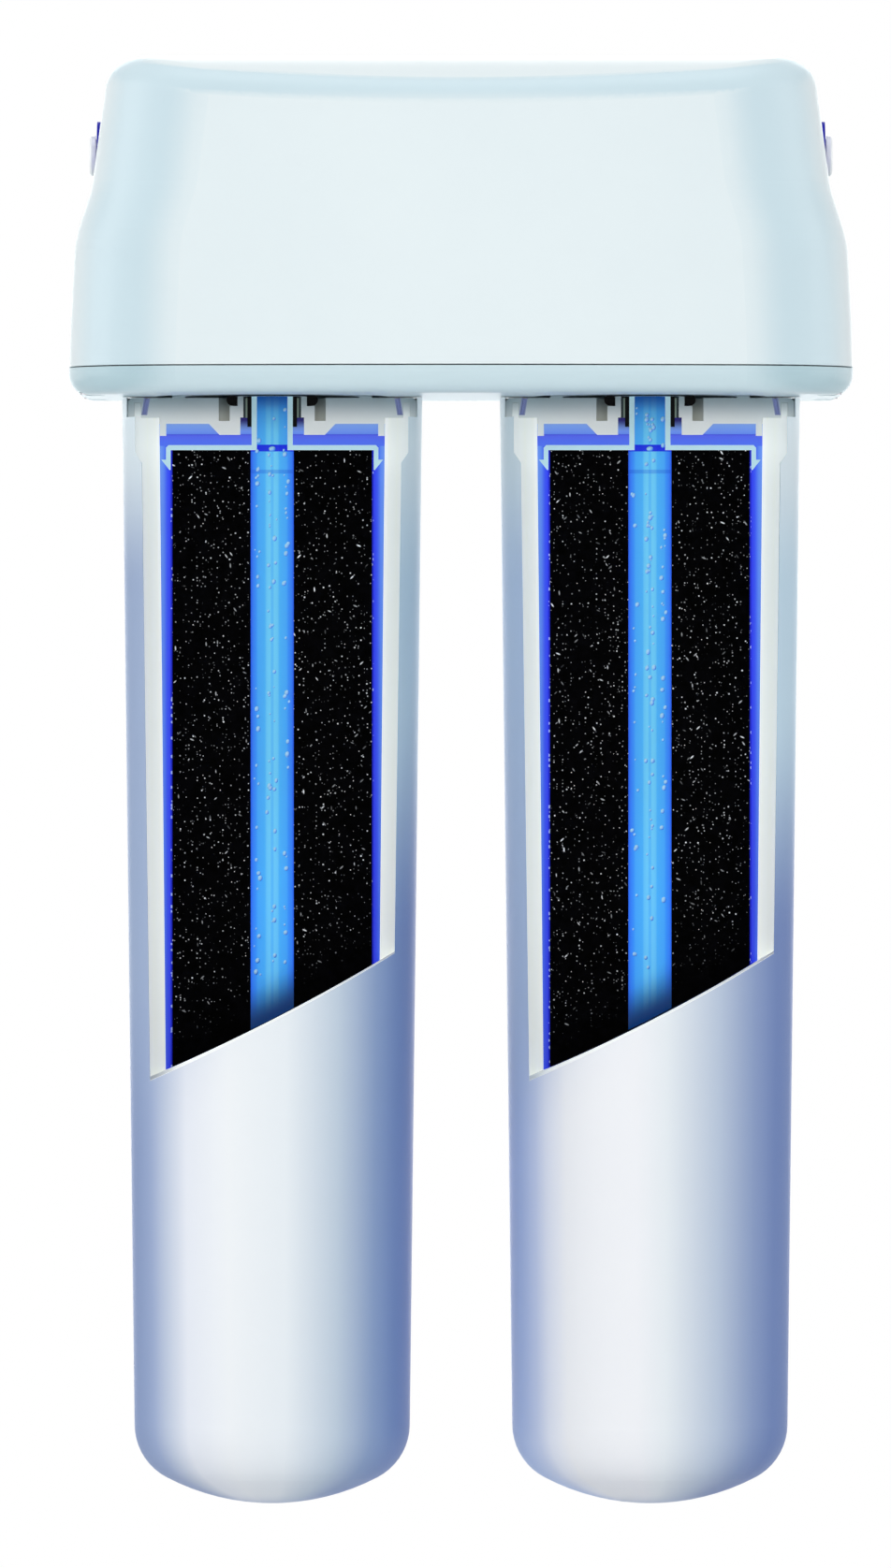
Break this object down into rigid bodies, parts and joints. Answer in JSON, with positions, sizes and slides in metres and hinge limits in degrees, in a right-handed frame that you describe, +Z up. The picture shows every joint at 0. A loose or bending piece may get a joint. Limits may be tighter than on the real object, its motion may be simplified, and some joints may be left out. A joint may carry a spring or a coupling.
{
  "type": "under sink water filter",
  "caption": "Wall-hung twin cartridge water filter for under a sink, cut open to show carbon blocks, water ways and caps; twist-lock cartridges and push-fit side ports.",
  "frame": {"origin": "on the wall plane, midway between the two wall screws", "axes": "+X to the viewer's right, +Y into the wall, +Z up; the front faces -Y and the cartridges hang down"},
  "size_m": [0.184, 0.09, 0.3399],
  "materials": {
    "cover_white": "smooth satin white with a cool tint",
    "base_white": "smooth satin white",
    "plate_grey": "moulded, fine grain",
    "valve_grey": "moulded, fine grain",
    "port_white": "smooth",
    "clip_blue": "smooth deep blue",
    "sleeve_pearl": "pearl with a blue cast",
    "vessel_cream": "moulded, cut face satin",
    "cap_cream": "moulded, cut face satin",
    "end_cap_ice": "pale ice blue, cut face satin",
    "carbon_black": "sintered carbon with pale grains",
    "net_grey": "fine net",
    "water_blue": "clear tinted blue",
    "jacket_blue": "clear tinted deep blue",
    "seal_black": "smooth",
    "screw_steel": "plain"
  },
  "bodies": {
    "head": {"head_cover": "cover_white", "head_base": "base_white", "back_plate": "plate_grey", "left_valve_body": "valve_grey", "right_valve_body": "valve_grey", "crossover_tube": "valve_grey", "crossover_seals": "seal_black", "valve_screws": "screw_steel", "cover_screws": "screw_steel", "plate_screws": "screw_steel", "inlet_fitting": "port_white", "inlet_insert": "port_white", "inlet_seal": "seal_black", "outlet_fitting": "port_white", "outlet_insert": "port_white", "outlet_seal": "seal_black"},
    "left_valve": {"left_rotor": "valve_grey", "left_rotor_seal": "seal_black"},
    "left_cartridge": {"left_sleeve": "sleeve_pearl", "left_vessel": "vessel_cream", "left_cap": "cap_cream", "left_top_end_cap": "end_cap_ice", "left_bottom_end_cap": "end_cap_ice", "left_carbon_block": "carbon_black", "left_block_net": "net_grey", "left_water_core": "water_blue", "left_water_jacket": "jacket_blue", "left_neck_seal": "seal_black", "left_neck_rings": "seal_black"},
    "right_valve": {"right_rotor": "valve_grey", "right_rotor_seal": "seal_black"},
    "right_cartridge": {"right_sleeve": "sleeve_pearl", "right_vessel": "vessel_cream", "right_cap": "cap_cream", "right_top_end_cap": "end_cap_ice", "right_bottom_end_cap": "end_cap_ice", "right_carbon_block": "carbon_black", "right_block_net": "net_grey", "right_water_core": "water_blue", "right_water_jacket": "jacket_blue", "right_neck_seal": "seal_black", "right_neck_rings": "seal_black"},
    "inlet_collet": {"inlet_collet": "port_white"},
    "inlet_clip": {"inlet_clip": "clip_blue"},
    "outlet_collet": {"outlet_collet": "port_white"},
    "outlet_clip": {"outlet_clip": "clip_blue"}
  },
  "joints": [
    {"name": "left_turn", "type": "hinge", "parent": "head", "child": "left_valve", "pos_m": [-0.04445, -0.045, -0.052], "axis": [0, 0, -1], "range_deg": [0, 75]},
    {"name": "left_drop", "type": "slide", "parent": "left_valve", "child": "left_cartridge", "axis": [0, 0, -1], "range_m": [0, 0.006]},
    {"name": "right_turn", "type": "hinge", "parent": "head", "child": "right_valve", "pos_m": [0.04445, -0.045, -0.052], "axis": [0, 0, -1], "range_deg": [0, 75]},
    {"name": "right_drop", "type": "slide", "parent": "right_valve", "child": "right_cartridge", "axis": [0, 0, -1], "range_m": [0, 0.006]},
    {"name": "inlet_clip_pull", "type": "slide", "parent": "head", "child": "inlet_clip", "axis": [0, 0, 1], "range_m": [0, 0.016]},
    {"name": "inlet_collet_play", "type": "slide", "parent": "head", "child": "inlet_collet", "axis": [1, 0, 0], "range_m": [0, 0.0003]},
    {"name": "outlet_clip_pull", "type": "slide", "parent": "head", "child": "outlet_clip", "axis": [0, 0, 1], "range_m": [0, 0.016]},
    {"name": "outlet_collet_play", "type": "slide", "parent": "head", "child": "outlet_collet", "axis": [-1, 0, 0], "range_m": [0, 0.0003]}
  ],
  "couplings": [
    {"joint": "left_drop", "follows": "left_turn", "m_per_rad": 0.0045837},
    {"joint": "right_drop", "follows": "right_turn", "m_per_rad": 0.0045837}
  ]
}
